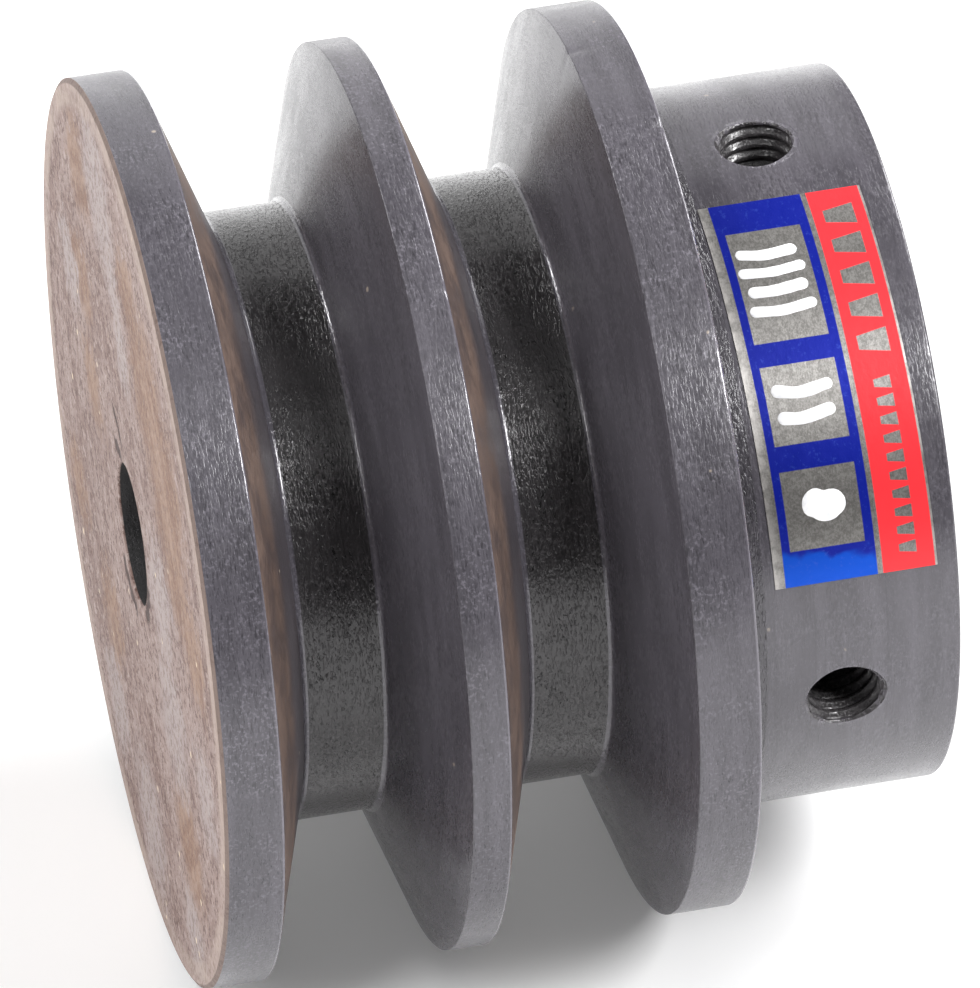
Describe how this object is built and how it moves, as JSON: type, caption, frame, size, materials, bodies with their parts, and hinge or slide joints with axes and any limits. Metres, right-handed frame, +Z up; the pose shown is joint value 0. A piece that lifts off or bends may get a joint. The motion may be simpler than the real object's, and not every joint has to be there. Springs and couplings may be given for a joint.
{
  "type": "v belt pulley",
  "caption": "V belt pulley turned from cast iron, with grooved rims, a through bore, and a hub with set screws and a foil label.",
  "frame": {"origin": "on the bore's axis, halfway between the web face and the hub end", "axes": "+Y along the axis of rotation towards the hub, +Z up with the pulley standing on its rims, +X to the side of the lower set screw"},
  "size_m": [0.1016, 0.084, 0.1016],
  "materials": {
    "turned_iron": "turned and satin, with rust haze on the web face",
    "black_steel": "black oxide",
    "label_foil": "printed metal foil"
  },
  "bodies": {
    "pulley": {"pulley_body": "turned_iron", "foil_label": "label_foil"},
    "set_screw_a": {"set_screw_a": "black_steel"},
    "set_screw_b": {"set_screw_b": "black_steel"}
  },
  "joints": [
    {"name": "set_screw_a_travel", "type": "slide", "parent": "pulley", "child": "set_screw_a", "axis": [-0.0419, 0, 0.9991], "range_m": [-0.0025, 0.018]},
    {"name": "set_screw_b_travel", "type": "slide", "parent": "pulley", "child": "set_screw_b", "axis": [0.9917, 0, -0.1288], "range_m": [-0.0025, 0.018]}
  ]
}
